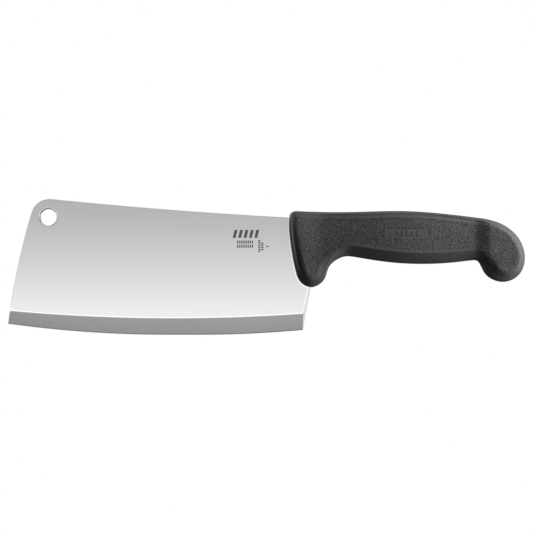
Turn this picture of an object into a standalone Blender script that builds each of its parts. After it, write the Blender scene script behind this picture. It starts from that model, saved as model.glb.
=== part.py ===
"""A meat cleaver: a ground steel blade whose tang runs into a handle of moulded plastic.

The blade is one sheet of steel with a belly, a straight back at the heel, a hanging hole and a
tang. The handle is moulded around the tang and grips it with plugs through the tang's holes.

Lengths below are in millimetres and become metres in the mesh. X runs along the cleaver, from the
blade's front edge to the handle's end. Z runs up from the cutting edge to the spine. Y is the
thickness, and the cleaver is the same on both sides of Y = 0. The origin lies below the middle of
the cleaver's length, at the height of the lowest point of the cutting edge.
"""

import math

import bmesh
import bpy
import numpy as np
from mathutils import Vector
from mathutils.geometry import delaunay_2d_cdt

MM = 0.001

# Blade. Each corner is x, z, and how far the arc to the next corner stands out of its chord.
BLADE_THICKNESS = 3.0
EDGE_THICKNESS = 0.3
TOE = (-148.45, 6.35)
HEEL = (20.95, 2.75)
BLADE_OUTLINE = (
    (*TOE, 1.6),
    (-57.0, 0.0, 0.0),
    (-38.0, 0.0, 0.69),
    (*HEEL, 0.0),
    (28.35, 41.6, -1.59),
    (34.8, 47.5, 0.0),
    (120.0, 50.0, 5.05),
    (120.0, 60.1, 0.0),
    (30.0, 64.7, 0.0),
    (21.9, 67.0, -0.95),
    (-123.75, 78.1, 2.2),
    (-134.75, 70.5, 1.3),
)

# The grind line is the arc on the blade's side where the flat ends and the bevel starts.
GRIND_AT_TOE = (-147.7, 13.75)
GRIND_AT_HEEL = (22.75, 12.25)
GRIND_SAG = 3.45
GRIND_SEGMENTS = 24

# Just ahead of the handle, a straight mesh line ends the blade's bare face.
FACE_END_X = 12.0
FACE_END_Z = (14.0, 67.0)

HANGING_HOLE = (-125.2, 67.5)
HANGING_HOLE_RADIUS = 4.7
TANG_HOLES = ((52.0, 56.4), (78.0, 56.0), (104.0, 55.6))
TANG_HOLE_RADIUS = 4.0

# Handle. Each point is x, z, how wide the rounding is there, how sharp its inner edge is, from 0
# where it runs smoothly on, how deep the groove along the rim is, how far in that groove ends, and
# what share of the groove's depth the rim outside it lies low, 1 making the groove a step down.
HANDLE_OUTLINE = (
    (13.05, 66.5, 0.7, 0.1, 0.4, 4.8, 0.5),
    (13.35, 57.0, 0.7, 0.1, 0.9, 5.4, 0.6),
    (16.85, 36.0, 1.9, 0.1, 2.0, 6.5, 1.0),
    (19.1, 30.65, 3.6, 0.1, 1.9, 6.8, 1.0),
    (24.95, 27.3, 4.6, 0.1, 1.2, 7.0, 1.0),
    (33.25, 31.75, 2.4, 0.2, 1.0, 6.6, 1.0),
    (36.3, 39.35, 1.9, 0.2, 1.0, 6.4, 1.0),
    (45.2, 45.0, 5.5, 0.7, 0.0, 6.6, 1.0),
    (49.8, 44.85, 5.9, 0.75, 0.0, 7.0, 1.0),
    (72.8, 41.5, 6.1, 0.75, 0.0, 7.2, 1.0),
    (105.0, 41.35, 5.9, 0.75, 0.0, 7.0, 1.0),
    (117.1, 42.7, 5.6, 0.65, 0.0, 6.9, 1.0),
    (121.25, 42.45, 5.0, 0.4, 0.8, 7.4, 1.0),
    (123.45, 39.25, 3.6, 0.2, 2.6, 8.2, 1.0),
    (126.35, 34.45, 3.0, 0.1, 3.2, 7.8, 1.0),
    (135.5, 30.4, 2.4, 0.1, 3.0, 6.2, 1.0),
    (145.05, 34.45, 3.2, 0.05, 2.0, 5.7, 0.9),
    (148.45, 44.7, 5.8, 0.0, 0.0, 7.2, 1.0),
    (143.4, 57.5, 5.2, 0.0, 0.0, 6.8, 0.5),
    (131.95, 65.05, 3.4, 0.1, 0.15, 5.4, 0.0),
    (118.25, 67.7, 1.6, 0.15, 0.35, 4.6, 0.0),
    (82.0, 71.05, 1.5, 0.15, 0.35, 4.6, 0.0),
    (45.2, 70.55, 1.5, 0.15, 0.35, 4.6, 0.0),
    (19.4, 71.05, 1.5, 0.15, 0.35, 4.6, 0.4),
    (15.5, 70.85, 1.4, 0.1, 0.4, 4.7, 0.5),
    (13.8, 69.7, 1.2, 0.1, 0.4, 4.8, 0.5),
)
GROOVE_START = 0.2  # in shares of the way in to the groove's end
GROOVE_DEEPEST = 0.36
GROOVE_SKEW = 0.75
OUTLINE_STEP = 2.6
LEAST_STEPS = 3
SPLINE_SPACING_POWER = 0.75  # between 0.5, centripetal, and 1, chord length
ROUNDING_RINGS = 5
GROOVE_RINGS = (0.1, 0.27, 0.6, 1.0)  # in shares of the way from the rounding to the groove's end
PANEL_GRID = 4.5
PANEL_GRID_ROWS = (-7, 4)  # counted from the middle of the grip

# The handle's half thickness along its length: the waist, and what the swells add to it.
WAIST = 7.3
GUARD_SWELL = 2.0
GUARD_SWELL_END = (15.0, 33.0)
PALM_SWELL = 2.0
PALM_CENTRE = 77.0
PALM_REACH = 46.0
POMMEL_SWELL = 2.4
POMMEL_RISE = (118.5, 128.0)
PANEL_CROWN = 0.9
GRIP_MIDDLE_Z = 57.0
GRIP_HALF_HEIGHT = 16.0

# A smooth pad for a label, sunk into the side panel.
LABEL_CENTRE = (80.6, 58.4)
LABEL_SIZE = (25.0, 5.2)
LABEL_TILT = math.radians(-0.8)
LABEL_DEPTH = 0.15
LABEL_WALL = 0.08

MOULDING_GAP = 0.3  # between the plastic and the steel, so that the two solids don't touch
CIRCLE_SEGMENTS = 40


def clear_scene():
    for thing in list(bpy.data.objects):
        bpy.data.objects.remove(thing)


def make_material(name, colour, metallic, roughness):
    material = bpy.data.materials.new(name)
    material.use_nodes = True
    shader = material.node_tree.nodes["Principled BSDF"]
    shader.inputs["Base Color"].default_value = (*colour, 1.0)
    shader.inputs["Metallic"].default_value = metallic
    shader.inputs["Roughness"].default_value = roughness
    return material


def arc(start, end, rise, segments):
    """Points from start up to, but not at, end. The arc stands rise to the right of the way."""
    start, end = np.array(start), np.array(end)
    chord = np.linalg.norm(end - start)
    along = (end - start) / chord
    outward = np.array((along[1], -along[0]))
    steps = np.arange(segments) / segments
    if rise == 0:
        return start + np.outer(steps, end - start)
    radius = (chord**2 / 4 + rise**2) / (2 * rise)
    half_angle = 2 * math.atan(2 * rise / chord)
    angles = half_angle * (2 * steps - 1)
    middle = (start + end) / 2
    sideways = np.outer(radius * np.sin(angles), along)
    outwards = np.outer(radius * (np.cos(angles) - 1) + rise, outward)
    return middle + sideways + outwards


def blade_outline():
    """The blade and its tang, seen from the side, the steel always to the left of the way."""
    points = []
    following = BLADE_OUTLINE[1:] + BLADE_OUTLINE[:1]
    for (x, z, rise), (next_x, next_z, _) in zip(BLADE_OUTLINE, following):
        length = math.hypot(next_x - x, next_z - z)
        turn = 4 * math.atan(2 * abs(rise) / length)
        segments = max(1, math.ceil(turn / math.radians(10)), math.ceil(length / 12))
        points.extend(arc((x, z), (next_x, next_z), rise, segments))
    return np.array(points)


def grind_line():
    line = arc(GRIND_AT_TOE, GRIND_AT_HEEL, GRIND_SAG, GRIND_SEGMENTS)
    return np.vstack((line, GRIND_AT_HEEL))


def circle(centre, radius):
    angles = 2 * math.pi * np.arange(CIRCLE_SEGMENTS) / CIRCLE_SEGMENTS
    return np.array(centre) + radius * np.column_stack((np.cos(angles), np.sin(angles)))


def closed_spline(knots):
    """A smooth closed curve through the knots, of any number of columns, the first two x and z."""
    knots = np.array(knots)
    count = len(knots)
    after = np.roll(knots, -1, axis=0)
    spans = np.linalg.norm((after - knots)[:, :2], axis=1) ** SPLINE_SPACING_POWER
    matrix = np.zeros((count, count))
    right = np.zeros_like(knots)
    for i in range(count):
        span, before = spans[i], spans[i - 1]
        matrix[i, i - 1] = span
        matrix[i, i] = 2 * (span + before)
        matrix[i, (i + 1) % count] = before
        incoming = (knots[i] - knots[i - 1]) / before
        outgoing = (after[i] - knots[i]) / span
        right[i] = 3 * (span * incoming + before * outgoing)
    slopes = np.linalg.solve(matrix, right)
    points = []
    for i in range(count):
        stretch = np.linalg.norm((after - knots)[i, :2])
        steps = max(LEAST_STEPS, math.ceil(stretch / OUTLINE_STEP))
        for t in np.arange(steps) / steps:
            arrive = 3 * t**2 - 2 * t**3
            pull_out = (t**3 - 2 * t**2 + t) * spans[i] * slopes[i]
            pull_in = (t**3 - t**2) * spans[i] * slopes[(i + 1) % count]
            points.append((1 - arrive) * knots[i] + arrive * after[i] + pull_out + pull_in)
    return np.array(points)


def outward_normals(loop):
    """The outward direction at each point of a loop that runs with its inside to the left."""
    way = np.roll(loop, -1, axis=0) - np.roll(loop, 1, axis=0)
    way /= np.linalg.norm(way, axis=1)[:, None]
    return np.column_stack((way[:, 1], -way[:, 0]))


def inside(points, loop):
    """Which of the points lie inside the closed loop."""
    found = np.zeros(len(points), bool)
    for (x0, z0), (x1, z1) in zip(loop, np.roll(loop, -1, axis=0)):
        if z0 == z1:
            continue
        spans = (points[:, 1] > z0) != (points[:, 1] > z1)
        crossing = x0 + (points[:, 1] - z0) * (x1 - x0) / (z1 - z0)
        found ^= spans & (points[:, 0] < crossing)
    return found


def smoothstep(low, high, x):
    t = np.clip((x - low) / (high - low), 0, 1)
    return t * t * (3 - 2 * t)


def double_sided(name, loops, lines, free_points, half_thickness):
    """A solid that is the same on both sides of Y = 0.

    loops are closed outlines, the outer one first and then the holes. lines are further polylines
    that the mesh follows, and free_points are extra points. half_thickness gives y at each x, z.
    """
    points, edges = [], []
    for loop in loops:
        first = len(points)
        count = len(loop)
        points.extend(loop)
        edges.extend((first + i, first + (i + 1) % count) for i in range(count))
    for line in lines:
        first = len(points)
        points.extend(line)
        edges.extend((first + i, first + i + 1) for i in range(len(line) - 1))
    points.extend(free_points)
    flat = [Vector(point) for point in points]
    corners, _, faces, _, _, _ = delaunay_2d_cdt(flat, edges, [], 0, 1e-6, False)
    corners = np.array(corners)
    middles = np.array([corners[list(face)].mean(axis=0) for face in faces])
    kept = inside(middles, loops[0])
    for hole in loops[1:]:
        kept &= ~inside(middles, hole)
    faces = [face for face, keep in zip(faces, kept) if keep]
    thickness = half_thickness(corners)

    mesh = bmesh.new()
    front, back = {}, {}
    for i in sorted({i for face in faces for i in face}):
        x, z = corners[i] * MM
        y = thickness[i] * MM
        front[i] = mesh.verts.new((x, -y, z))
        back[i] = mesh.verts.new((x, y, z)) if y > 0 else front[i]
    borders = {}
    for face in faces:
        mesh.faces.new([front[i] for i in face])
        mesh.faces.new([back[i] for i in reversed(face)])
        for i, j in zip(face, face[1:] + face[:1]):
            if borders.pop((j, i), None) is None:
                borders[i, j] = True
    for i, j in borders:
        rim = dict.fromkeys((front[j], front[i], back[i], back[j]))
        if len(rim) > 2:
            mesh.faces.new(rim)
    bmesh.ops.recalc_face_normals(mesh, faces=mesh.faces)
    data = bpy.data.meshes.new(name)
    mesh.to_mesh(data)
    mesh.free()
    return data


def make_object(name, data, material):
    data.shade_smooth()
    data.set_sharp_from_angle(angle=math.radians(30))
    data.materials.append(material)
    thing = bpy.data.objects.new(name, data)
    bpy.context.collection.objects.link(thing)
    return thing


def cut(thing, cutter):
    """Takes the cutter's shape out of the thing, and leaves the cutter as a wire guide."""
    cutter.hide_render = True
    cutter.display_type = "WIRE"
    modifier = thing.modifiers.new(cutter.name, "BOOLEAN")
    modifier.operation = "DIFFERENCE"
    modifier.solver = "EXACT"
    modifier.object = cutter


def blade_half_thickness(points):
    """Full thickness down to the grind line, then a straight bevel to the edge."""
    outline = blade_outline()
    heel = np.flatnonzero((outline == HEEL).all(axis=1))[0]
    edge = np.interp(points[:, 0], outline[: heel + 1, 0], outline[: heel + 1, 1])
    line = grind_line()
    grind = np.interp(points[:, 0], line[:, 0], line[:, 1])
    up_bevel = np.clip((points[:, 1] - edge) / (grind - edge), 0, 1)
    return (EDGE_THICKNESS + (BLADE_THICKNESS - EDGE_THICKNESS) * up_bevel) / 2


def make_blade(material):
    holes = [circle(HANGING_HOLE, HANGING_HOLE_RADIUS)]
    holes += [circle(centre, TANG_HOLE_RADIUS) for centre in TANG_HOLES]
    face_end = np.array(((FACE_END_X, FACE_END_Z[0]), (FACE_END_X, FACE_END_Z[1])))
    lines = (grind_line(), face_end)
    data = double_sided("blade", [blade_outline(), *holes], lines, [], blade_half_thickness)
    return make_object("blade", data, material)


def make_tang_slot(material):
    """The room that the moulding leaves for the steel, with a plug through each of its holes."""
    outline = blade_outline()
    outline = outline + MOULDING_GAP * outward_normals(outline)
    holes = [circle(centre, TANG_HOLE_RADIUS - MOULDING_GAP) for centre in TANG_HOLES]
    half = BLADE_THICKNESS / 2 + MOULDING_GAP
    data = double_sided("tang_slot", [outline, *holes], [], [], lambda p: np.full(len(p), half))
    return make_object("tang_slot", data, material)


def label_corners(margin):
    """The label pad's corners, moved out by margin, and the first one repeated at the end."""
    half = np.array(LABEL_SIZE) / 2 + margin
    square = np.array(((-1, -1), (1, -1), (1, 1), (-1, 1), (-1, -1)))
    turn = np.array(
        (
            (math.cos(LABEL_TILT), -math.sin(LABEL_TILT)),
            (math.sin(LABEL_TILT), math.cos(LABEL_TILT)),
        )
    )
    return (square * half) @ turn.T + LABEL_CENTRE


def nearest_on_outline(points, outline):
    """Each point's distance from the outline, and the outline's own values at the nearest place."""
    distances = np.full(len(points), np.inf)
    values = np.zeros((len(points), outline.shape[1]))
    for start, end in zip(outline, np.roll(outline, -1, axis=0)):
        way = end[:2] - start[:2]
        along = np.clip((points - start[:2]) @ way / (way @ way), 0, 1)[:, None]
        distance = np.linalg.norm(points - start[:2] - along * way, axis=1)
        closer = distance < distances
        distances[closer] = distance[closer]
        values[closer] = (start + along * (end - start))[closer]
    return distances, values


def panel_half_thickness(x, z):
    """The side panel's swells along the handle, and its crown across it."""
    guard = GUARD_SWELL * (1 - smoothstep(*GUARD_SWELL_END, x))
    reach = np.clip((x - PALM_CENTRE) / PALM_REACH, -1, 1)
    palm = PALM_SWELL * np.cos(reach * math.pi / 2) ** 2
    pommel = POMMEL_SWELL * smoothstep(*POMMEL_RISE, x)
    off_middle = np.clip((z - GRIP_MIDDLE_Z) / GRIP_HALF_HEIGHT, -1, 1)
    return WAIST + guard + palm + pommel - PANEL_CROWN * off_middle**2


def handle_half_thickness(points, outline):
    """The panel, its groove and label pad, and the rounding from the panel to the outline."""
    distances, nearest = nearest_on_outline(points, outline)
    widths, sharpness, groove, groove_end, sink = nearest[:, 2:].T
    panel = panel_half_thickness(points[:, 0], points[:, 1])
    deepest = GROOVE_DEEPEST * groove_end
    down = smoothstep(GROOVE_START * groove_end, deepest, distances)
    down += np.clip(sink, 0, 1) * (1 - down)
    up = np.clip((distances - deepest) / (groove_end - deepest), 0, 1)
    panel -= groove * down * (1 - smoothstep(0, 1, up**GROOVE_SKEW))
    panel -= LABEL_DEPTH * inside(points, label_corners(-LABEL_WALL / 2)[:-1])
    inwards = np.clip(distances / widths, 0, 1)
    inwards[inwards < 1e-4] = 0
    round_part = np.sqrt(1 - (1 - inwards) ** 2)
    return panel * (sharpness * inwards + (1 - sharpness) * round_part)


def closed(loop):
    return np.vstack((loop, loop[:1]))


def handle_mesh(outline):
    """Rings of mesh follow the rounding and the panel's edge, and a loose grid fills the panel."""
    rim, widths, groove_ends = outline[:, :2], outline[:, 2:3], outline[:, 5:6]
    inward = -outward_normals(rim)
    angles = math.pi / 2 * np.arange(1, ROUNDING_RINGS + 1) / ROUNDING_RINGS
    insets = [widths * (1 - math.cos(angle)) for angle in angles]
    insets += [widths + (groove_ends - widths) * share for share in GROOVE_RINGS]
    rings = [closed(rim + inward * inset) for inset in insets]
    labels = [label_corners(LABEL_WALL / 2), label_corners(-LABEL_WALL)]
    across = np.arange(rim[:, 0].min(), rim[:, 0].max(), PANEL_GRID)
    up = GRIP_MIDDLE_Z + PANEL_GRID * np.arange(*PANEL_GRID_ROWS)
    grid = np.array([(x, z) for x in across for z in up])
    grid = grid[inside(grid, rim)]
    distances, nearest = nearest_on_outline(grid, outline)
    in_label = inside(grid, label_corners(LABEL_WALL)[:-1])
    grid = grid[(distances > nearest[:, 5] + PANEL_GRID / 4) & ~in_label]
    lines = rings + labels
    return double_sided(
        "handle", [rim], lines, grid, lambda points: handle_half_thickness(points, outline)
    )


def make_handle(material, slot):
    handle = make_object("handle", handle_mesh(closed_spline(HANDLE_OUTLINE)), material)
    cut(handle, slot)
    return handle


def main():
    clear_scene()
    steel = make_material("ground_steel", (0.62, 0.63, 0.64), 1.0, 0.32)
    plastic = make_material("black_polypropylene", (0.03, 0.03, 0.032), 0.0, 0.5)
    make_blade(steel)
    make_handle(plastic, make_tang_slot(plastic))


main()
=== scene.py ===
"""The looks of the meat cleaver: finely rounded steel, a grained plastic handle, and the studio.

The two pieces here stand for the CAD's blade and handle and keep its outlines, given below in
millimetres. X runs along the cleaver, Z up from the cutting edge, and Y is the thickness.
"""

import math

import bpy
import numpy as np
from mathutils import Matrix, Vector
from mathutils.geometry import delaunay_2d_cdt


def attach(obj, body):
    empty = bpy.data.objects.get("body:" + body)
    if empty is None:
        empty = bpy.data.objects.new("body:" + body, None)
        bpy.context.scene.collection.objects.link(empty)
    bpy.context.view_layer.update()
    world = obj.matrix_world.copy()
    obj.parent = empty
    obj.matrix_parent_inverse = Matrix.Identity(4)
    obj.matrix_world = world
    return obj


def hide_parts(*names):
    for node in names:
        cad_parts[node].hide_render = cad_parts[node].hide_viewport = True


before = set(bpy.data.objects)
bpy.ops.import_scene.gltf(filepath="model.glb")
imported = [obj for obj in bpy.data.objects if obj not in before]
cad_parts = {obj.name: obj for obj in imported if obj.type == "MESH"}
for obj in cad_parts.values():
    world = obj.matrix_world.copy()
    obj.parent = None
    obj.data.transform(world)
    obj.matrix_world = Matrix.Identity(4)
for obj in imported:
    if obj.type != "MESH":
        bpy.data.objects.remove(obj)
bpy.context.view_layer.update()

MM = 0.001
SHARP_ANGLE = math.radians(35)  # the shading breaks at a crease sharper than this
SAME_POINT = 1e-6  # mesh corners this near to each other are one
SQUARE = ((-1, -1), (1, -1), (1, 1), (-1, 1))

# Blade. Each corner is x, z, and how far the arc to the next corner stands out of its chord.
BLADE_THICKNESS = 3.0
TOE = (-148.45, 6.35)
HEEL = (20.95, 2.75)
HEEL_BACK_TOP = (28.35, 41.6)
BLADE_OUTLINE = (
    (*TOE, 1.6),
    (-57.0, 0.0, 0.0),
    (-38.0, 0.0, 0.69),
    (*HEEL, 0.0),
    (*HEEL_BACK_TOP, -1.59),
    (34.8, 47.5, 0.0),
    (120.0, 50.0, 5.05),
    (120.0, 60.1, 0.0),
    (30.0, 64.7, 0.0),
    (21.9, 67.0, -0.95),
    (-123.75, 78.1, 2.2),
    (-134.75, 70.5, 1.3),
)
OUTLINE_ARC_TURN = math.radians(3)
OUTLINE_ARC_STEP = 3.0

# The grind: a flat bevel from the grind line down to a hair above the edge, then the honed edge.
GRIND_AT_TOE = (-147.7, 13.75)
GRIND_AT_HEEL = (22.75, 12.25)
GRIND_SAG = 3.45
GRIND_SEGMENTS = 96
GRIND_ROUNDING = 0.45
GRIND_ROUNDING_LIFT = 0.25
GRIND_ROUNDING_RINGS = 6
BEVEL_LINES = 5
BEVEL_PAST_HEEL = 3.0  # the bevel's mesh lines run on this far, to meet the heel's leaning back
BEVEL_EDGE_THICKNESS = 0.3
HONED_HEIGHT = 0.7
HONED_THICKNESS = 0.06

# Rounded edges of the blade.
EDGE_ROUNDING = 0.3
EDGE_ROUNDING_RINGS = 4
EDGE_ROUNDING_MOST = 0.6  # but no more than this share of the half thickness
HEEL_BACK_SEGMENTS = 48
HEEL_CHAMFER = 1.6  # how far in the chamfer on the back of the heel reaches
HEEL_CHAMFER_AT_EDGE = 0.38  # narrowing down the bevel to this
HEEL_CHAMFER_DEPTH = 1.4
HEEL_CREASE_ROUNDING = 0.3
HEEL_CREASE_ROWS = 9
HOLE_ROUNDING = 0.9
HOLE_ROUNDING_RINGS = 5
HOLE_WALL_REACH = 0.01  # a face whose middle is this near the hole's radius is its wall
ROUNDING_SUPPORT = 0.15  # a last mesh line this far past a rounding keeps the flat's shading flat

HANGING_HOLE = (-125.2, 67.5)
HANGING_HOLE_RADIUS = 4.7
TANG_HOLES = ((52.0, 56.4), (78.0, 56.0), (104.0, 55.6))
TANG_HOLE_RADIUS = 4.0
CIRCLE_SEGMENTS = 96

# The polished lines, above the grind line and on the blade along the handle: smoother steel, with a
# lighter colour that is a painted highlight.
POLISH_AND_HIGHLIGHT_ABOVE_GRIND = 0.62
POLISH_AND_HIGHLIGHT_BELOW_GRIND = 0.05
POLISH_AND_HIGHLIGHT_BY_HANDLE = 0.6

# The blade's finishes, in the order of its materials. The polished one carries a painted highlight,
# and the punched one painted shade.
SATIN, GROUND, POLISHED_PAINTED_HIGHLIGHT, ETCHED, PUNCHED_PAINTED_SHADE = range(5)

# A plain etched mark of simple shapes, and rows of dashes under and beside it.
MARK_BARS = 5
MARK_BAR_SIZE = (1.7, 4.6)
MARK_BAR_PITCH = 3.1
MARK_BAR_SLANT = 1.1
MARK_CENTRE = (-11.7, 58.0)
DASH_ROWS = ((-12.2, 53.3), (-12.2, 50.9))
DASH_COUNT = 8
DASH_SIZE = (0.7, 1.8)
DASH_PITCH = 1.2
TICK_COLUMNS = ((-4.0, 51.0, 6), (-2.3, 50.8, 4))
TICK_SIZE = (1.3, 0.75)
TICK_PITCH = 1.2
LONE_DASH = (0.6, 50.8)
LONE_DASH_SIZE = (1.4, 0.6)

# Handle. Each point is x, z, how wide the rounding is there, how sharp its inner edge is, from 0
# where it runs smoothly on, how deep the groove along the rim is, how far in that groove ends, and
# what share of the groove's depth the rim outside it lies low, 1 making the groove a step down.
HANDLE_OUTLINE = (
    (13.05, 66.5, 0.7, 0.1, 0.4, 4.8, 0.5),
    (13.35, 57.0, 0.7, 0.1, 0.9, 5.4, 0.6),
    (16.85, 36.0, 1.9, 0.1, 2.0, 6.5, 1.0),
    (19.1, 30.65, 3.6, 0.1, 1.9, 6.8, 1.0),
    (24.95, 27.3, 4.6, 0.1, 1.2, 7.0, 1.0),
    (33.25, 31.75, 2.4, 0.2, 1.0, 6.6, 1.0),
    (36.3, 39.35, 1.9, 0.2, 1.0, 6.4, 1.0),
    (45.2, 45.0, 5.5, 0.7, 0.0, 6.6, 1.0),
    (49.8, 44.85, 5.9, 0.75, 0.0, 7.0, 1.0),
    (72.8, 41.5, 6.1, 0.75, 0.0, 7.2, 1.0),
    (105.0, 41.35, 5.9, 0.75, 0.0, 7.0, 1.0),
    (117.1, 42.7, 5.6, 0.65, 0.0, 6.9, 1.0),
    (121.25, 42.45, 5.0, 0.4, 0.8, 7.4, 1.0),
    (123.45, 39.25, 3.6, 0.2, 2.6, 8.2, 1.0),
    (126.35, 34.45, 3.0, 0.1, 3.2, 7.8, 1.0),
    (135.5, 30.4, 2.4, 0.1, 3.0, 6.2, 1.0),
    (145.05, 34.45, 3.2, 0.05, 2.0, 5.7, 0.9),
    (148.45, 44.7, 5.8, 0.0, 0.0, 7.2, 1.0),
    (143.4, 57.5, 5.2, 0.0, 0.0, 6.8, 0.5),
    (131.95, 65.05, 3.4, 0.1, 0.15, 5.4, 0.0),
    (118.25, 67.7, 1.6, 0.15, 0.35, 4.6, 0.0),
    (82.0, 71.05, 1.5, 0.15, 0.35, 4.6, 0.0),
    (45.2, 70.55, 1.5, 0.15, 0.35, 4.6, 0.0),
    (19.4, 71.05, 1.5, 0.15, 0.35, 4.6, 0.4),
    (15.5, 70.85, 1.4, 0.1, 0.4, 4.7, 0.5),
    (13.8, 69.7, 1.2, 0.1, 0.4, 4.8, 0.5),
)
GROOVE_START = 0.2  # in shares of the way in to the groove's end
GROOVE_DEEPEST = 0.36
GROOVE_SKEW = 0.75
OUTLINE_STEP = 0.8
LEAST_STEPS = 3
SPLINE_SPACING_POWER = 0.75  # between 0.5, centripetal, and 1, chord length
ROUNDING_RINGS = 10
PANEL_EDGE_ROUNDING = 0.35
PANEL_EDGE_RINGS = 4

# The handle's half thickness along its length: the waist, and what the swells add to it.
WAIST = 7.3
GUARD_SWELL = 2.0
GUARD_SWELL_END = (15.0, 33.0)
PALM_SWELL = 2.0
PALM_CENTRE = 77.0
PALM_REACH = 46.0
POMMEL_SWELL = 2.4
POMMEL_RISE = (118.5, 128.0)
PANEL_CROWN = 0.9
GRIP_MIDDLE_Z = 57.0
GRIP_HALF_HEIGHT = 16.0

# A low bead runs along the panel's edge, except by the guard, and along the top a fine line is sunk
# beside it.
BEAD_HEIGHT = 0.2
BEAD_HALF_WIDTH = 0.8
BEAD_OUTSIDE = 0.8  # how far outside the groove's end the bead runs
BEAD_START_X = (30.0, 40.0)
BEAD_END_X = (112.0, 124.0)
TOP_LINE_DEPTH = 0.3
TOP_LINE_HALF_WIDTH = 0.75
TOP_LINE_INSET = 2.75

# A smooth pad for a label, sunk into the side panel, and plain raised bars on it.
LABEL_CENTRE = (80.6, 58.4)
LABEL_SIZE = (25.0, 5.2)
LABEL_TILT = math.radians(-0.8)
LABEL_DEPTH = 0.15
LABEL_WALL = 0.08
LABEL_BARS = 5
LABEL_BAR_SIZE = (1.3, 3.0)
LABEL_BAR_PITCH = 2.8
LABEL_BAR_HEIGHT = 0.15
LABEL_BAR_WALL = 0.1

# The mould's marks: pebble grain on the side panels, and a fine seam where its halves met.
GRAIN_PITCH = 0.5
GRAIN_JITTER = 0.3  # in pitches, each way
GRAIN_DEPTH = 0.13
GRAIN_SEED = 7
GRID_START = 0.15  # in widths of the rounding, where the grain's mesh starts
GRAIN_SOFT_EDGE = (0.15, 0.8)  # in widths of the rounding, where the grain starts and is full
GRAIN_SHARP_EDGE = (1.0, 1.3)  # the same where the panel's edge is sharp
GRAIN_LEAST = (1.0, 1.6)  # but it never starts, or is full, nearer the outline than this
GRAIN_PAST_GROOVE = (0.57, 0.91)  # or, by a groove, than these shares of the way to its end
SHARPEST_EDGE = 0.75  # in the outline's own measure of a sharp inner edge
FULL_GROOVE = 0.3  # how deep a groove has to be to keep the grain out
SEAM_HALF_WIDTH = 0.12
SEAM_DEPTH = 0.06
PEBBLE_SCALE = 2100.0
PEBBLE_SPREAD = (0.38, 0.62)  # the noise's values that count as 0 and 1
# The pebbles' greys are painted shade and highlight: darker in the grain's hollows and lighter on
# its tops, and darker on the whole than the smooth grey, standing for the grain's self-shadowing.
PEBBLE_PAINTED_SHADE_GREYS = (0.026, 0.110)
SMOOTH_GREY = 0.080
SLOT_GAP = 0.05  # between the plastic and the steel

# The studio, in metres.
CAMERA_DISTANCE = 0.8
CAMERA_AIM = (0.0001, 0.03927)
CAMERA_CLIP_START = 0.01
VIEW_WIDTH = 0.3065
SENSOR_WIDTH = 36.0
FLOOR_REACH = 4.0
FLOOR_GAP = 0.0005

WORLD_GLOW = (0.05, 0.10)  # from straight below and from straight above

# The panel of light that the steel mirrors: height, and how bright it looks there.
STEEL_LIGHT = (
    (-0.40, 0.23),
    (-0.12, 0.27),
    (-0.07, 0.35),
    (-0.035, 0.91),
    (-0.01, 1.29),
    (0.01, 1.09),
    (0.05, 0.74),
    (0.09, 0.50),
    (0.15, 0.40),
    (0.25, 0.50),
    (0.45, 0.60),
)
STEEL_LIGHT_DISTANCE = 0.25
STEEL_LIGHT_HEIGHT = 0.025
STEEL_LIGHT_SIZE = (1.2, 0.85)
STEEL_END_LIGHT_DISTANCE = 0.6
STEEL_END_LIGHT_SIZE = (0.5, 0.6)
STEEL_END_LIGHT_GLOWS = {-1: 0.65, 1: 0.93}
STEEL_TOP_LIGHT_HEIGHT = 0.45
STEEL_TOP_LIGHT_SIZE = (0.6, 0.5)
STEEL_TOP_LIGHT_GLOW = 0.9

# The plastic's lights, from the right, behind, above and below: place, aim, size, and how bright
# each one looks.
PLASTIC_LIGHTS = (
    ((0.39, -0.11, 0.16), (0.09, 0.0, 0.05), (0.3, 0.5), 7.1),
    ((-0.35, 0.30, 0.26), (0.09, 0.0, 0.05), (0.3, 0.3), 8.0),
    ((0.0, 0.0, 0.50), (0.08, 0.0, 0.05), (0.5, 0.3), 0.8),
    ((0.20, 0.0, -0.09), (0.13, 0.0, 0.05), (0.12, 0.2), 0.75),
)


# Outlines


def arc(start, end, rise, segments):
    """Points from start up to, but not at, end. The arc stands rise to the right of the way."""
    start, end = np.array(start), np.array(end)
    chord = np.linalg.norm(end - start)
    along = (end - start) / chord
    outward = np.array((along[1], -along[0]))
    steps = np.arange(segments) / segments
    if rise == 0:
        return start + np.outer(steps, end - start)
    radius = (chord**2 / 4 + rise**2) / (2 * rise)
    half_angle = 2 * math.atan(2 * rise / chord)
    angles = half_angle * (2 * steps - 1)
    middle = (start + end) / 2
    sideways = np.outer(radius * np.sin(angles), along)
    outwards = np.outer(radius * (np.cos(angles) - 1) + rise, outward)
    return middle + sideways + outwards


def blade_outline():
    """The blade and its tang, seen from the side, the steel always to the left of the way."""
    points = []
    following = BLADE_OUTLINE[1:] + BLADE_OUTLINE[:1]
    for (x, z, rise), (next_x, next_z, _) in zip(BLADE_OUTLINE, following):
        length = math.hypot(next_x - x, next_z - z)
        turn = 4 * math.atan(2 * abs(rise) / length)
        segments = max(1, math.ceil(turn / OUTLINE_ARC_TURN), math.ceil(length / OUTLINE_ARC_STEP))
        points.extend(arc((x, z), (next_x, next_z), rise, segments))
    return np.array(points)


def circle(centre, radius):
    angles = 2 * math.pi * np.arange(CIRCLE_SEGMENTS) / CIRCLE_SEGMENTS
    return np.array(centre) + radius * np.column_stack((np.cos(angles), np.sin(angles)))


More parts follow.
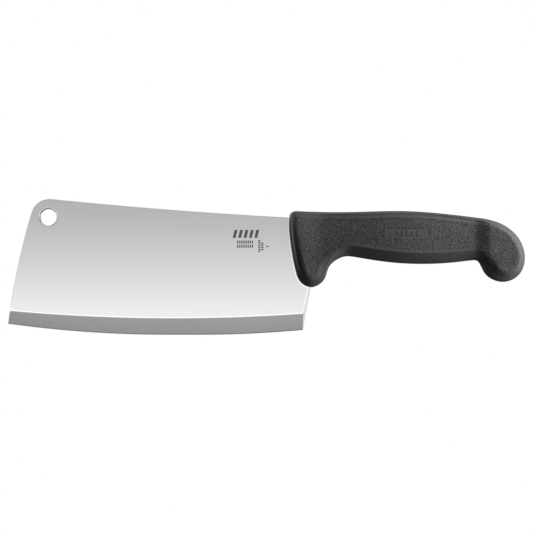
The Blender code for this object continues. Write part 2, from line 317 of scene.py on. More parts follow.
def closed_spline(knots):
    """A smooth closed curve through the knots, of any number of columns, the first two x and z."""
    knots = np.array(knots)
    count = len(knots)
    after = np.roll(knots, -1, axis=0)
    spans = np.linalg.norm((after - knots)[:, :2], axis=1) ** SPLINE_SPACING_POWER
    matrix = np.zeros((count, count))
    right = np.zeros_like(knots)
    for i in range(count):
        span, before = spans[i], spans[i - 1]
        matrix[i, i - 1] = span
        matrix[i, i] = 2 * (span + before)
        matrix[i, (i + 1) % count] = before
        incoming = (knots[i] - knots[i - 1]) / before
        outgoing = (after[i] - knots[i]) / span
        right[i] = 3 * (span * incoming + before * outgoing)
    slopes = np.linalg.solve(matrix, right)
    points = []
    for i in range(count):
        stretch = np.linalg.norm((after - knots)[i, :2])
        steps = max(LEAST_STEPS, math.ceil(stretch / OUTLINE_STEP))
        for t in np.arange(steps) / steps:
            arrive = 3 * t**2 - 2 * t**3
            pull_out = (t**3 - 2 * t**2 + t) * spans[i] * slopes[i]
            pull_in = (t**3 - t**2) * spans[i] * slopes[(i + 1) % count]
            points.append((1 - arrive) * knots[i] + arrive * after[i] + pull_out + pull_in)
    return np.array(points)


def outward_normals(loop):
    """The outward direction at each point of a loop that runs with its inside to the left."""
    way = np.roll(loop, -1, axis=0) - np.roll(loop, 1, axis=0)
    way /= np.linalg.norm(way, axis=1)[:, None]
    return np.column_stack((way[:, 1], -way[:, 0]))


def inside(points, loop):
    """Which of the points lie inside the closed loop."""
    found = np.zeros(len(points), bool)
    for (x0, z0), (x1, z1) in zip(loop, np.roll(loop, -1, axis=0)):
        if z0 == z1:
            continue
        spans = (points[:, 1] > z0) != (points[:, 1] > z1)
        crossing = x0 + (points[:, 1] - z0) * (x1 - x0) / (z1 - z0)
        found ^= spans & (points[:, 0] < crossing)
    return found


def nearest_on_line(points, line):
    """Each point's distance from the line, and the line's own values at the nearest place."""
    distances = np.full(len(points), np.inf)
    values = np.zeros((len(points), line.shape[1]))
    for start, end in zip(line[:-1], line[1:]):
        way = end[:2] - start[:2]
        along = np.clip((points - start[:2]) @ way / (way @ way), 0, 1)[:, None]
        distance = np.linalg.norm(points - start[:2] - along * way, axis=1)
        closer = distance < distances
        distances[closer] = distance[closer]
        values[closer] = (start + along * (end - start))[closer]
    return distances, values


def closed(loop):
    return np.vstack((loop, loop[:1]))


def smoothstep(low, high, x):
    t = np.clip((x - low) / (high - low), 0, 1)
    return t * t * (3 - 2 * t)


def rounding_insets(radius, rings):
    """How far from the edge the mesh lines of a rounding lie, and one more on the flat past it."""
    angles = math.pi / 2 * np.arange(1, rings + 1) / rings
    return [*(radius * (1 - np.cos(angles))), radius + ROUNDING_SUPPORT]


def rounding_drop(distances, radius):
    """How far a rounded edge of that radius lies below the flat, at a distance in from the edge."""
    to_go = np.clip(radius - distances, 0, radius)
    return radius - np.sqrt(np.maximum(radius**2 - to_go**2, 0))


def soft_fall(before, rounding):
    """How far a slope of 1 has fallen at a distance before its start, which is rounded over."""
    blend = np.clip(rounding - before, 0, 2 * rounding) ** 2 / (4 * rounding)
    return np.where(before < -rounding, -before, blend)


# Meshes


def triangulate(loops, lines, free_points):
    """Corners, triangles that turn left, and their middles, within the first loop and no other.

    lines are further polylines that the triangles follow, and free_points are extra corners.
    """
    points, edges = [], []
    for loop in loops:
        first = len(points)
        count = len(loop)
        points.extend(loop)
        edges.extend((first + i, first + (i + 1) % count) for i in range(count))
    for line in lines:
        first = len(points)
        points.extend(line)
        edges.extend((first + i, first + i + 1) for i in range(len(line) - 1))
    points.extend(free_points)
    flat = [Vector(point) for point in points]
    corners, _, triangles, _, _, _ = delaunay_2d_cdt(flat, edges, [], 0, SAME_POINT, False)
    corners, triangles = np.array(corners), np.array(triangles)
    middles = corners[triangles].mean(axis=1)
    kept = inside(middles, loops[0])
    for hole in loops[1:]:
        kept &= ~inside(middles, hole)
    triangles, middles = triangles[kept], middles[kept]
    used, triangles = np.unique(triangles, return_inverse=True)
    triangles = triangles.reshape(-1, 3)
    corners = corners[used]
    a, b, c = (corners[triangles[:, k]] for k in range(3))
    turns_left = np.cross(b - a, c - a) > 0
    triangles[~turns_left] = triangles[~turns_left][:, ::-1]
    return corners, triangles, middles


def seam_points(corners, borders, depth):
    """The point at Y = 0, that deep inside, for the first corner of each border edge."""
    starts = borders[:, 0]
    ways = np.zeros_like(corners)
    for i, j in borders:
        ways[i] += corners[j] - corners[i]
        ways[j] += corners[j] - corners[i]
    ways = ways[starts] / np.linalg.norm(ways[starts], axis=1)[:, None]
    inwards = corners[starts] + depth * np.column_stack((-ways[:, 1], ways[:, 0]))
    return np.column_stack((inwards[:, 0], np.zeros(len(starts)), inwards[:, 1]))


def double_sided(name, loops, lines, free_points, half_thickness, seam_depth=0.0):
    """A mesh that is the same on both sides of Y = 0, and the middles of its side's triangles.

    loops are closed outlines, the outer one first and then the holes. lines are further polylines
    that the mesh follows, and free_points are extra points. half_thickness gives y at each x, z.
    With a seam_depth, the walls fold in by that much at Y = 0. The faces are those of the front,
    those of the back in the same order, and then the walls.
    """
    corners, triangles, middles = triangulate(loops, lines, free_points)
    thickness = half_thickness(corners)
    count = len(corners)
    back = np.where(thickness > 0, np.arange(count) + count, np.arange(count))
    x, z = corners.T
    vertices = np.vstack((np.column_stack((x, -thickness, z)), np.column_stack((x, thickness, z))))
    directed = np.vstack((triangles[:, (0, 1)], triangles[:, (1, 2)], triangles[:, (2, 0)]))
    keys = directed[:, 0] * count + directed[:, 1]
    twins = directed[:, 1] * count + directed[:, 0]
    borders = directed[~np.isin(keys, twins)]
    faces = [*triangles.tolist(), *back[triangles[:, ::-1]].tolist()]
    seam = dict(zip(borders[:, 0].tolist(), range(2 * count, 2 * count + len(borders))))
    if seam_depth:
        vertices = np.vstack((vertices, seam_points(corners, borders, seam_depth)))
    for i, j in borders.tolist():
        rims = [(j, i, back[i], back[j])]
        if seam_depth:
            rims = [(j, i, seam[i], seam[j]), (seam[j], seam[i], back[i], back[j])]
        for rim in rims:
            rim = list(dict.fromkeys(int(k) for k in rim))
            if len(rim) > 2:
                faces.append(rim)
    mesh = bpy.data.meshes.new(name)
    mesh.from_pydata((vertices * MM).tolist(), [], faces)
    mesh.validate()
    mesh.update()
    return mesh, middles


def shade(mesh):
    mesh.shade_smooth()
    mesh.set_sharp_from_angle(angle=SHARP_ANGLE)


def make_piece(name, mesh):
    shade(mesh)
    piece = bpy.data.objects.new(name, mesh)
    bpy.context.scene.collection.objects.link(piece)
    return piece


def box_loop(centre, size, slant=0.0):
    """A rectangle's corners, its top edge moved along by slant."""
    half = np.array(size) / 2
    corners = np.array(SQUARE) * half
    corners[2:, 0] += slant
    corners[:, 0] -= slant / 2
    return corners + centre


# Blade


def edge_and_grind(x):
    """The height of the cutting edge and of the grind line along the blade."""
    outline = blade_outline()
    heel = np.flatnonzero((outline == HEEL).all(axis=1))[0]
    edge = np.interp(x, outline[: heel + 1, 0], outline[: heel + 1, 1])
    line = arc(GRIND_AT_TOE, GRIND_AT_HEEL, GRIND_SAG, GRIND_SEGMENTS)
    line = np.vstack((line, GRIND_AT_HEEL))
    return edge, np.interp(x, line[:, 0], line[:, 1])


def heel_back():
    """The straight line up the back of the heel."""
    return np.vstack((arc(HEEL, HEEL_BACK_TOP, 0, HEEL_BACK_SEGMENTS), HEEL_BACK_TOP))


def heel_share(z):
    """How wide the heel's chamfer is at a height, against its full width."""
    least = HEEL_CHAMFER_AT_EDGE / HEEL_CHAMFER
    return np.interp(z, (HEEL[1], GRIND_AT_HEEL[1]), (least, 1))


def blade_half_thickness(points):
    """The flat, the ground bevel, the honed edge, the rounded edges and the heel's chamfer."""
    x, z = points.T
    edge, grind = edge_and_grind(x)
    full, at_edge = BLADE_THICKNESS / 2, BEVEL_EDGE_THICKNESS / 2
    slope = (full - at_edge) / (grind - edge)
    half = full - slope * soft_fall(z - grind - GRIND_ROUNDING_LIFT, GRIND_ROUNDING)
    share = np.clip((z - edge) / HONED_HEIGHT, 0, 1)
    bevel_end = full - slope * (grind - edge + GRIND_ROUNDING_LIFT - HONED_HEIGHT)
    honed = HONED_THICKNESS / 2 + (bevel_end - HONED_THICKNESS / 2) * share
    half = np.where(z - edge < HONED_HEIGHT, honed, half)

    outline = closed(blade_outline())
    heel_end = np.flatnonzero((outline == HEEL).all(axis=1))[0]
    broken = outline[heel_end + 1 :]
    radius = np.minimum(EDGE_ROUNDING, EDGE_ROUNDING_MOST * half)
    distances, _ = nearest_on_line(points, broken)
    half = half - rounding_drop(distances, radius)
    from_hole = np.abs(np.linalg.norm(points - HANGING_HOLE, axis=1) - HANGING_HOLE_RADIUS)
    half = half - rounding_drop(from_hole, HOLE_ROUNDING)
    from_back, _ = nearest_on_line(points, heel_back())
    fall = soft_fall(from_back / heel_share(z) - HEEL_CHAMFER, HEEL_CREASE_ROUNDING)
    fall *= HEEL_CHAMFER_DEPTH / HEEL_CHAMFER
    return half * (1 - fall / full)


def mark_loops():
    """The etched mark's shapes."""
    loops = []
    for i in range(MARK_BARS):
        x = MARK_CENTRE[0] + (i - (MARK_BARS - 1) / 2) * MARK_BAR_PITCH
        loops.append(box_loop((x, MARK_CENTRE[1]), MARK_BAR_SIZE, MARK_BAR_SLANT))
    for row_x, row_z in DASH_ROWS:
        for i in range(DASH_COUNT):
            x = row_x + (i - (DASH_COUNT - 1) / 2) * DASH_PITCH
            loops.append(box_loop((x, row_z), DASH_SIZE))
    for column_x, column_z, count in TICK_COLUMNS:
        for i in range(count):
            z = column_z + (i - (count - 1) / 2) * TICK_PITCH
            loops.append(box_loop((column_x, z), TICK_SIZE))
    loops.append(box_loop(LONE_DASH, LONE_DASH_SIZE))
    return loops


def blade_lines(handle_rim):
    """The mesh lines on the blade's side, apart from its outline and holes."""
    outline = blade_outline()
    inward = -outward_normals(outline)
    lines = [
        closed(outline + inward * inset)
        for inset in rounding_insets(EDGE_ROUNDING, EDGE_ROUNDING_RINGS)
    ]
    back = heel_back()
    back_way = np.array(HEEL_BACK_TOP) - HEEL
    back_inward = np.array((-back_way[1], back_way[0])) / np.linalg.norm(back_way)
    creases = HEEL_CHAMFER + HEEL_CREASE_ROUNDING * np.linspace(-1, 1, HEEL_CREASE_ROWS)
    insets = (*creases, creases[-1] + ROUNDING_SUPPORT)
    shares = heel_share(back[:, 1])[:, None]
    lines += [back + back_inward * inset * shares for inset in insets]
    lines += [
        closed(circle(HANGING_HOLE, HANGING_HOLE_RADIUS + inset))
        for inset in rounding_insets(HOLE_ROUNDING, HOLE_ROUNDING_RINGS)
    ]
    along = np.linspace(TOE[0], HEEL[0] + BEVEL_PAST_HEEL, 2 * GRIND_SEGMENTS)
    edge, grind = edge_and_grind(along)
    steps = np.linspace(-1, 1, GRIND_ROUNDING_RINGS + 1) * GRIND_ROUNDING
    steps = [*steps, -GRIND_ROUNDING - ROUNDING_SUPPORT, GRIND_ROUNDING + ROUNDING_SUPPORT]
    steps = [GRIND_ROUNDING_LIFT + step for step in steps]
    steps += [POLISH_AND_HIGHLIGHT_ABOVE_GRIND, -POLISH_AND_HIGHLIGHT_BELOW_GRIND]
    lines += [np.column_stack((along, grind + step)) for step in steps]
    honed = edge + HONED_HEIGHT
    bevel_top = grind + min(steps)
    for share in np.linspace(0, 1, BEVEL_LINES + 1)[:-1]:
        lines.append(np.column_stack((along, honed + share * (bevel_top - honed))))
    lines.append(np.column_stack((along, honed + ROUNDING_SUPPORT)))
    lines += [closed(loop) for loop in mark_loops()]
    lines.append(closed(handle_rim + POLISH_AND_HIGHLIGHT_BY_HANDLE * outward_normals(handle_rim)))
    kept = []
    for line in lines:
        within = inside(line, outline)
        for start in np.flatnonzero(within[:-1] & within[1:]):
            kept.append(line[start : start + 2])
    return kept


def side_finish(middles, handle_rim):
    """The finish at each place on the blade's side, without the mark."""
    _, grind = edge_and_grind(middles[:, 0])
    above = middles[:, 1] - grind
    finish = np.full(len(middles), SATIN)
    near_handle, _ = nearest_on_line(middles, closed(handle_rim))
    # Painted highlight: the polished finish's lighter colour along the handle and above the grind
    # line.
    finish[(near_handle < POLISH_AND_HIGHLIGHT_BY_HANDLE) | inside(middles, handle_rim)] = POLISHED_PAINTED_HIGHLIGHT
    finish[above < POLISH_AND_HIGHLIGHT_ABOVE_GRIND] = POLISHED_PAINTED_HIGHLIGHT
    finish[above < -POLISH_AND_HIGHLIGHT_BELOW_GRIND] = GROUND
    from_back, _ = nearest_on_line(middles, heel_back())
    from_back = from_back / heel_share(middles[:, 1])
    crease = np.abs(from_back - HEEL_CHAMFER) < HEEL_CREASE_ROUNDING
    finish[from_back < HEEL_CHAMFER] = SATIN
    # The heel's crease gets the same painted highlight.
    finish[crease & (above > 0)] = POLISHED_PAINTED_HIGHLIGHT
    return finish


def wall_finish(mesh, first):
    """The finish of the blade's walls, which are the mesh's faces from the first one on."""
    centres = np.zeros(len(mesh.polygons) * 3)
    mesh.polygons.foreach_get("center", centres)
    flat = centres.reshape(-1, 3)[first:, (0, 2)] / MM
    from_hole = np.linalg.norm(flat - HANGING_HOLE, axis=1)
    # The hole's wall gets the near-black finish, painted shade inside the hole.
    return np.where(from_hole < HANGING_HOLE_RADIUS + HOLE_WALL_REACH, PUNCHED_PAINTED_SHADE, SATIN)


def make_blade(handle_rim):
    holes = [circle(HANGING_HOLE, HANGING_HOLE_RADIUS)]
    holes += [circle(centre, TANG_HOLE_RADIUS) for centre in TANG_HOLES]
    loops = [blade_outline(), *holes]
    mesh, middles = double_sided(
        "blade_steel", loops, blade_lines(handle_rim), [], blade_half_thickness
    )
    back = side_finish(middles, handle_rim)
    marked = np.zeros(len(middles), bool)
    for loop in mark_loops():
        marked |= inside(middles, loop)
    front = np.where(marked, ETCHED, back)
    walls = wall_finish(mesh, 2 * len(middles))
    mesh.polygons.foreach_set("material_index", np.concatenate((front, back, walls)))
    materials = (satin_steel(), ground_steel(), polished_steel_painted_highlight(), etched_steel(), punched_steel_painted_shade())
    for material in materials:
        mesh.materials.append(material)
    piece = make_piece("blade_steel", mesh)
    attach(piece, "root")
    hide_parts("blade")
    return piece


# Handle


def label_corners(margin):
    """The label pad's corners, moved out by margin, and the first one repeated at the end."""
    square = closed(box_loop((0, 0), np.array(LABEL_SIZE) + 2 * margin))
    cosine, sine = math.cos(LABEL_TILT), math.sin(LABEL_TILT)
    return square @ np.array(((cosine, sine), (-sine, cosine))) + LABEL_CENTRE


def panel_half_thickness(x, z):
    """The side panel's swells along the handle, and its crown across it."""
    guard = GUARD_SWELL * (1 - smoothstep(*GUARD_SWELL_END, x))
    reach = np.clip((x - PALM_CENTRE) / PALM_REACH, -1, 1)
    palm = PALM_SWELL * np.cos(reach * math.pi / 2) ** 2
    pommel = POMMEL_SWELL * smoothstep(*POMMEL_RISE, x)
    off_middle = np.clip((z - GRIP_MIDDLE_Z) / GRIP_HALF_HEIGHT, -1, 1)
    return WAIST + guard + palm + pommel - PANEL_CROWN * off_middle**2


def label_bars(margin):
    """The raised bars' corners, moved out by margin."""
    loops = []
    for i in range(LABEL_BARS):
        x = LABEL_CENTRE[0] + (i - (LABEL_BARS - 1) / 2) * LABEL_BAR_PITCH
        size = np.array(LABEL_BAR_SIZE) + 2 * margin
        loops.append(box_loop((x, LABEL_CENTRE[1]), size))
    return loops


def grain_share(points, distances, nearest):
    """How strong the pebble grain is: full on the side panels, none at the rim and on the label."""
    widths, sharpness, groove, groove_end = nearest[:, 2:6].T
    edge = np.clip(sharpness / SHARPEST_EDGE, 0, 1)
    past_groove = np.clip(groove / FULL_GROOVE, 0, 1) * groove_end
    bounds = []
    for k in range(2):
        by_edge = GRAIN_SOFT_EDGE[k] + (GRAIN_SHARP_EDGE[k] - GRAIN_SOFT_EDGE[k]) * edge
        bound = np.maximum(by_edge * widths, GRAIN_LEAST[k])
        bounds.append(np.maximum(bound, GRAIN_PAST_GROOVE[k] * past_groove))
    share = smoothstep(*bounds, distances)
    return share * ~inside(points, label_corners(LABEL_WALL)[:-1])


def groove_depth(distances, nearest):
    """How deep the groove, or the step, is at each place."""
    groove, groove_end, sink = nearest[:, 4:].T
    deepest = GROOVE_DEEPEST * groove_end
    down = smoothstep(GROOVE_START * groove_end, deepest, distances)
    down += np.clip(sink, 0, 1) * (1 - down)
    up = np.clip((distances - deepest) / (groove_end - deepest), 0, 1) ** GROOVE_SKEW
    return groove * down * (1 - smoothstep(0, 1, up))


def bead_and_line(distances, nearest):
    """How high the bead stands at each place, less how deep the line beside it is sunk."""
    x, groove_end, sink = nearest[:, (0, 5, 6)].T
    bead = smoothstep(*BEAD_START_X, x) * (1 - smoothstep(*BEAD_END_X, x))
    across = (distances - groove_end + BEAD_OUTSIDE) / BEAD_HALF_WIDTH
    raised = BEAD_HEIGHT * bead * np.exp(-(across**2))
    across = (distances - TOP_LINE_INSET) / TOP_LINE_HALF_WIDTH
    return raised - TOP_LINE_DEPTH * (1 - np.clip(sink, 0, 1)) * np.exp(-(across**2))


def rounded_share(distances, nearest):
    """What share of the panel's thickness the rounding leaves at each place."""
    widths, sharpness = nearest[:, 2:4].T
    inwards = distances / widths
    soft = PANEL_EDGE_ROUNDING / widths
    bend = (inwards - 1 + soft) ** 2 / (4 * soft)
    straight = np.where(inwards > 1 - soft, inwards - bend, inwards)
    straight = np.where(inwards > 1 + soft, 1, straight)
    round_part = np.sqrt(1 - (1 - np.clip(inwards, 0, 1)) ** 2)
    return sharpness * straight + (1 - sharpness) * round_part


def handle_half_thickness(points, outline):
    """The panel with its groove, bead, line, label pad and grain, rounded off to the outline."""
    distances, nearest = nearest_on_line(points, closed(outline))
    panel = panel_half_thickness(points[:, 0], points[:, 1])
    panel -= groove_depth(distances, nearest)
    panel += bead_and_line(distances, nearest)
    panel -= LABEL_DEPTH * inside(points, label_corners(-LABEL_WALL / 2)[:-1])
    for bar in label_bars(0):
        panel += LABEL_BAR_HEIGHT * inside(points, bar)
    pits = np.random.default_rng(GRAIN_SEED).random(len(points))
    panel -= GRAIN_DEPTH * pits * grain_share(points, distances, nearest)
    return np.maximum(panel * rounded_share(distances, nearest), SEAM_HALF_WIDTH)


def handle_mesh(outline):
    """Rings of mesh follow the rounding and the panel's edge, and a fine grid carries the grain."""
    rim, widths = outline[:, :2], outline[:, 2:3]
    inward = -outward_normals(rim)
    angles = math.pi / 2 * np.arange(1, ROUNDING_RINGS) / ROUNDING_RINGS
    rings = [closed(rim + inward * widths * (1 - math.cos(angle))) for angle in angles]
    for step in np.linspace(-1, 1, PANEL_EDGE_RINGS + 1):
        rings.append(closed(rim + inward * (widths + step * PANEL_EDGE_ROUNDING)))
    labels = [label_corners(LABEL_WALL / 2), label_corners(-LABEL_WALL)]
    for margin in (LABEL_BAR_WALL / 2, -LABEL_BAR_WALL / 2):
        labels += [closed(bar) for bar in label_bars(margin)]
    low, high = rim.min(axis=0), rim.max(axis=0)
    across = np.arange(low[0], high[0], GRAIN_PITCH)
    up = np.arange(low[1], high[1], GRAIN_PITCH * math.sqrt(3) / 2)
    grid = np.array([(x + GRAIN_PITCH / 2 * (j % 2), z) for x in across for j, z in enumerate(up)])
    jitter = np.random.default_rng(GRAIN_SEED).uniform(-GRAIN_JITTER, GRAIN_JITTER, grid.shape)
    grid += GRAIN_PITCH * jitter
    grid = grid[inside(grid, rim)]
    distances, nearest = nearest_on_line(grid, closed(outline))
    in_label = inside(grid, label_corners(LABEL_WALL)[:-1])
    fine = distances > np.maximum(GRID_START * nearest[:, 2], GRAIN_LEAST[0])
    grid = grid[fine & ~in_label]
    mesh, _ = double_sided(
        "handle_plastic",
        [rim],
        rings + labels,
        grid,
        lambda points: handle_half_thickness(points, outline),
        SEAM_DEPTH,
    )
    return mesh


def tang_slot():
    """The room in the plastic for the steel, with a plug through each of the tang's holes."""
    outline = blade_outline()
    outline = outline + SLOT_GAP * outward_normals(outline)
    holes = [circle(centre, TANG_HOLE_RADIUS - SLOT_GAP) for centre in TANG_HOLES]
    half = BLADE_THICKNESS / 2 + SLOT_GAP
    mesh, _ = double_sided("tang_slot", [outline, *holes], [], [], lambda p: np.full(len(p), half))
    return make_piece("tang_slot", mesh)


def cut_slot(piece):
    """Takes the tang's room out of the piece's mesh for good."""
    cutter = tang_slot()
    modifier = piece.modifiers.new("tang_slot", "BOOLEAN")
    modifier.operation = "DIFFERENCE"
    modifier.solver = "MANIFOLD"
    modifier.object = cutter
    bpy.context.view_layer.update()
    evaluated = piece.evaluated_get(bpy.context.evaluated_depsgraph_get())
    mesh = bpy.data.meshes.new_from_object(evaluated)
    piece.modifiers.clear()
    piece.data = mesh
    bpy.data.objects.remove(cutter)


def make_handle(outline):
    piece = make_piece("handle_plastic", handle_mesh(outline))
    cut_slot(piece)
    mesh = piece.data
    shade(mesh)
    points = np.zeros(len(mesh.vertices) * 3)
    mesh.vertices.foreach_get("co", points)
    flat = points.reshape(-1, 3)[:, (0, 2)] / MM
    distances, nearest = nearest_on_line(flat, closed(outline))
    # The grain share also sets how much of the pebbles' painted shade the colour takes.
    grain = mesh.attributes.new("grain", "FLOAT", "POINT")
    grain.data.foreach_set("value", grain_share(flat, distances, nearest).astype(np.float32))
    mesh.materials.clear()
    mesh.materials.append(black_plastic())
    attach(piece, "root")
    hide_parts("handle")
    return piece


# Materials


class Nodes:
    """A material's or world's node tree, with a short way to add nodes and link them."""

    def __init__(self, owner):
        owner.use_nodes = True
        self.tree = owner.node_tree

    def add(self, kind, values=(), **settings):
        node = self.tree.nodes.new(kind)
        for name, value in settings.items():
            setattr(node, name, value)
        for name, value in dict(values).items():
            if isinstance(value, bpy.types.NodeSocket):
                self.tree.links.new(value, node.inputs[name])
            else:
                node.inputs[name].default_value = value
        return node

    def noise(self, stretch, scale, detail=2.0, turn=0.0):
        """Noise in the object's own space, its grains stretched along X, Y and Z."""
        place = self.add("ShaderNodeTexCoord").outputs["Object"]
        mapping = self.add("ShaderNodeMapping", {"Vector": place, "Rotation": (0.0, turn, 0.0)})
        mapping.inputs["Scale"].default_value = [1 / part for part in stretch]
        values = {"Vector": mapping.outputs["Vector"], "Scale": scale, "Detail": detail}
        return self.add("ShaderNodeTexNoise", values).outputs["Fac"]

    def ranged(self, value, low, high):
        """A 0 to 1 value spread from low to high."""
        values = {"Value": value, "To Min": low, "To Max": high}
        return self.add("ShaderNodeMapRange", values).outputs["Result"]


def principled(name, metallic, roughness):
    material = bpy.data.materials.new(name)
    nodes = Nodes(material)
    shader = nodes.tree.nodes["Principled BSDF"]
    shader.inputs["Metallic"].default_value = metallic
    shader.inputs["Roughness"].default_value = roughness
    return material, nodes, shader


def tint(nodes, shader, value, dark, light):
    """The base colour, from one grey to the other as value goes from 0 to 1."""
    mix = nodes.add("ShaderNodeMix", {"Factor": value}, data_type="RGBA")
    mix.inputs["A"].default_value = (dark, dark, dark, 1)
    mix.inputs["B"].default_value = (light, light, light, 1)
    nodes.tree.links.new(mix.outputs["Result"], shader.inputs["Base Color"])


def roughen(nodes, shader, value, low, high):
    """The roughness, from low to high as value goes from 0 to 1."""
    nodes.tree.links.new(nodes.ranged(value, low, high), shader.inputs["Roughness"])


def bump(nodes, shader, height, distance, strength):
    values = {"Height": height, "Distance": distance, "Strength": strength}
    node = nodes.add("ShaderNodeBump", values)
    nodes.tree.links.new(node.outputs["Normal"], shader.inputs["Normal"])


def satin_steel():
    """The flat side: fine satin, with hardly a mark to see."""
    material, nodes, shader = principled("satin_steel", metallic=1.0, roughness=0.2)
    cloud = nodes.noise(stretch=(8, 1, 3), scale=60)
    tint(nodes, shader, cloud, dark=0.725, light=0.753)
    brushed = nodes.noise(stretch=(40, 1, 1), scale=3000, detail=1.0)
    roughen(nodes, shader, brushed, low=0.18, high=0.22)
    bump(nodes, shader, brushed, distance=0.00001, strength=0.05)
    return material


def ground_steel():
    """The bevel: ground along its length, with fine marks that lean a little."""
    material, nodes, shader = principled("ground_steel", metallic=1.0, roughness=0.28)
    marks = nodes.noise(stretch=(60, 1, 1), scale=2500, detail=3.0, turn=math.radians(2))
    tint(nodes, shader, marks, dark=0.585, light=0.625)
    roughen(nodes, shader, marks, low=0.24, high=0.34)
    bump(nodes, shader, marks, distance=0.00002, strength=0.15)
    return material


def polished_steel_painted_highlight():
    """The lines above the grind line, along the handle and on the heel's crease: smoother than
    satin, with a near-white colour that is a painted highlight.
    """
    material, nodes, shader = principled("polished_steel_painted_highlight", metallic=1.0, roughness=0.16)
    cloud = nodes.noise(stretch=(8, 1, 3), scale=300)
    tint(nodes, shader, cloud, dark=0.94, light=0.98)
    return material


def etched_steel():
    """Dark oxide where the mark is etched."""
    material, nodes, shader = principled("etched_steel", metallic=0.0, roughness=0.6)
    speckle = nodes.noise(stretch=(1, 1, 1), scale=4000)
    tint(nodes, shader, speckle, dark=0.09, light=0.15)
    return material


def punched_steel_painted_shade():
    """The hole's wall: rough from the punch, and near black with no shine, which is painted shade
    for the inside of the hole.
    """
    material, nodes, shader = principled("punched_steel_painted_shade", metallic=0.0, roughness=0.8)
    speckle = nodes.noise(stretch=(1, 1, 1), scale=2500)
    tint(nodes, shader, speckle, dark=0.02, light=0.05)
    shader.inputs["Specular IOR Level"].default_value = 0.0
    return material


def black_plastic():
    """Moulded polypropylene: pebble grain on the panels, smooth on the rims. The grain's colour is
    painted shade and highlight, darker in its hollows, lighter on its tops, and darker on the whole
    than the rims.
    """
    material, nodes, shader = principled("black_plastic", metallic=0.0, roughness=0.6)
    share = nodes.add("ShaderNodeAttribute", attribute_name="grain").outputs["Fac"]
    pebbles = nodes.noise(stretch=(1, 1, 1), scale=PEBBLE_SCALE, detail=1.0)
    spread = {"Value": pebbles, "From Min": PEBBLE_SPREAD[0], "From Max": PEBBLE_SPREAD[1]}
    pebbles = nodes.add("ShaderNodeMapRange", spread).outputs["Result"]
    # Painted shade and highlight: the grain's grey follows its bump, darker in the hollows and
    # lighter on the tops.
    grained_painted_shade = nodes.ranged(pebbles, *PEBBLE_PAINTED_SHADE_GREYS)
    colour = nodes.add("ShaderNodeMix", {"Factor": share, "A": SMOOTH_GREY, "B": grained_painted_shade})
    nodes.tree.links.new(colour.outputs["Result"], shader.inputs["Base Color"])
    height = nodes.add("ShaderNodeMath", {0: pebbles, 1: share}, operation="MULTIPLY").outputs[0]
    roughen(nodes, shader, pebbles, low=0.55, high=0.65)
    shader.inputs["Specular IOR Level"].default_value = 0.3
    bump(nodes, shader, height, distance=0.0001, strength=0.5)
    return material


# Studio


def make_camera():
    camera = bpy.data.cameras.new("camera")
    camera.sensor_width = SENSOR_WIDTH
    camera.lens = SENSOR_WIDTH * CAMERA_DISTANCE / VIEW_WIDTH
    camera.clip_start = CAMERA_CLIP_START
    holder = bpy.data.objects.new("camera", camera)
    holder.location = (CAMERA_AIM[0], -CAMERA_DISTANCE, CAMERA_AIM[1])
    holder.rotation_euler = (math.pi / 2, 0, 0)
    bpy.context.scene.collection.objects.link(holder)
    bpy.context.scene.camera = holder


def make_world():
    """Soft light from all round, darker below, behind a plain white backdrop."""
    world = bpy.data.worlds.new("studio")
    bpy.context.scene.world = world
    nodes = Nodes(world)
    direction = nodes.add("ShaderNodeTexCoord").outputs["Generated"]
    height = nodes.add("ShaderNodeSeparateXYZ", {"Vector": direction}).outputs["Z"]
    up = nodes.add("ShaderNodeMapRange", {"Value": height, "From Min": -1.0}).outputs["Result"]
    light = nodes.ranged(up, *WORLD_GLOW)
    seen = nodes.add("ShaderNodeLightPath").outputs["Is Camera Ray"]
    white = nodes.add("ShaderNodeMix", {"Factor": seen, "A": light, "B": 1.0}).outputs["Result"]
    background = nodes.tree.nodes["Background"]
    background.inputs["Color"].default_value = (1, 1, 1, 1)
    nodes.tree.links.new(white, background.inputs["Strength"])


def strength_by_height(nodes, stops):
    """A value that follows the stops, pairs of height and strength."""
    low, high = stops[0][0], stops[-1][0]
    place = nodes.add("ShaderNodeNewGeometry").outputs["Position"]
    height = nodes.add("ShaderNodeSeparateXYZ", {"Vector": place}).outputs["Z"]
    values = {"Value": height, "From Min": low, "From Max": high}
    share = nodes.add("ShaderNodeMapRange", values).outputs["Result"]
    curve_node = nodes.add("ShaderNodeFloatCurve", {"Value": share})
    curve = curve_node.mapping.curves[0]
    top = max(strength for _, strength in stops)
    places = [((at - low) / (high - low), strength / top) for at, strength in stops]
    curve.points[0].location = places[0]
    curve.points[-1].location = places[-1]
    for place in places[1:-1]:
        curve.points.new(*place)
    curve_node.mapping.update()
    return nodes.add("ShaderNodeMath", {0: curve_node.outputs[0], 1: top}, operation="MULTIPLY")


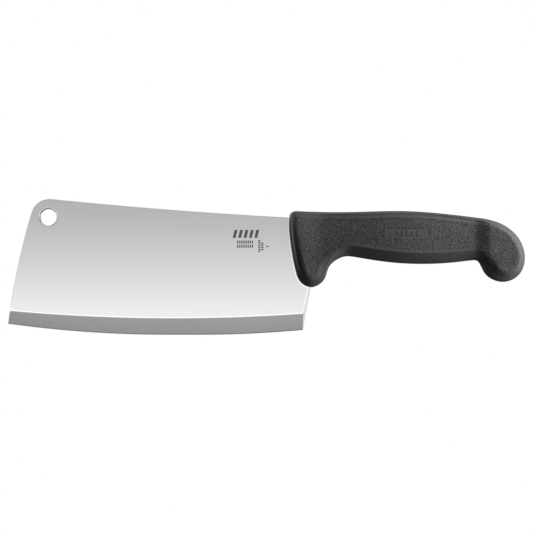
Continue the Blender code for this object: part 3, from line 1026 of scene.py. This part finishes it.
def make_floor():
    """A plain white floor that the camera sees, and that leaves the light alone."""
    material = bpy.data.materials.new("floor_white")
    nodes = Nodes(material)
    nodes.tree.nodes.clear()
    shine = nodes.add("ShaderNodeEmission", {"Strength": 1.0})
    out = nodes.add("ShaderNodeOutputMaterial")
    nodes.tree.links.new(shine.outputs[0], out.inputs["Surface"])
    mesh = bpy.data.meshes.new("floor")
    corners = [(x * FLOOR_REACH, y * FLOOR_REACH, -FLOOR_GAP) for x, y in SQUARE]
    mesh.from_pydata(corners, [], [(0, 1, 2, 3)])
    mesh.materials.append(material)
    floor = bpy.data.objects.new("floor", mesh)
    bpy.context.scene.collection.objects.link(floor)
    floor.visible_diffuse = False
    floor.visible_glossy = False
    floor.visible_shadow = False
    floor.visible_transmission = False


def area_light(name, lit, place, aim, size, glow, stops=()):
    """A soft panel of light for one piece only, glow being how bright the panel looks.

    stops, pairs of height and strength, grade it.
    """
    light = bpy.data.lights.new(name, "AREA")
    light.shape = "RECTANGLE"
    light.size, light.size_y = size
    light.energy = glow * math.pi * size[0] * size[1]
    if stops:
        nodes = Nodes(light)
        strength = strength_by_height(nodes, stops)
        emission = nodes.tree.nodes["Emission"]
        nodes.tree.links.new(strength.outputs[0], emission.inputs["Strength"])
    holder = bpy.data.objects.new(name, light)
    holder.location = place
    holder.rotation_euler = (Vector(aim) - Vector(place)).to_track_quat("-Z", "Y").to_euler()
    holder.visible_camera = False
    bpy.context.scene.collection.objects.link(holder)
    group = bpy.data.collections.new(name)
    group.objects.link(lit)
    holder.light_linking.receiver_collection = group


def make_lights(blade, handle):
    """Graded panels beside the steel, plain ones at its ends and above, and the plastic's own."""
    aim = (0, 0, STEEL_LIGHT_HEIGHT)
    for side in (-1, 1):
        place = (0, side * STEEL_LIGHT_DISTANCE, STEEL_LIGHT_HEIGHT)
        area_light("steel_light", blade, place, aim, STEEL_LIGHT_SIZE, 1.0, STEEL_LIGHT)
        place = (side * STEEL_END_LIGHT_DISTANCE, 0, STEEL_LIGHT_HEIGHT)
        glow = STEEL_END_LIGHT_GLOWS[side]
        area_light("steel_end_light", blade, place, aim, STEEL_END_LIGHT_SIZE, glow)
    place = (0, 0, STEEL_TOP_LIGHT_HEIGHT)
    area_light("steel_top_light", blade, place, aim, STEEL_TOP_LIGHT_SIZE, STEEL_TOP_LIGHT_GLOW)
    for place, aim, size, glow in PLASTIC_LIGHTS:
        area_light("plastic_light", handle, place, aim, size, glow)


handle_outline = closed_spline(HANDLE_OUTLINE)
blade = make_blade(handle_outline[:, :2])
handle = make_handle(handle_outline)
make_camera()
make_world()
make_floor()
make_lights(blade, handle)
bpy.context.scene.view_settings.view_transform = "Standard"
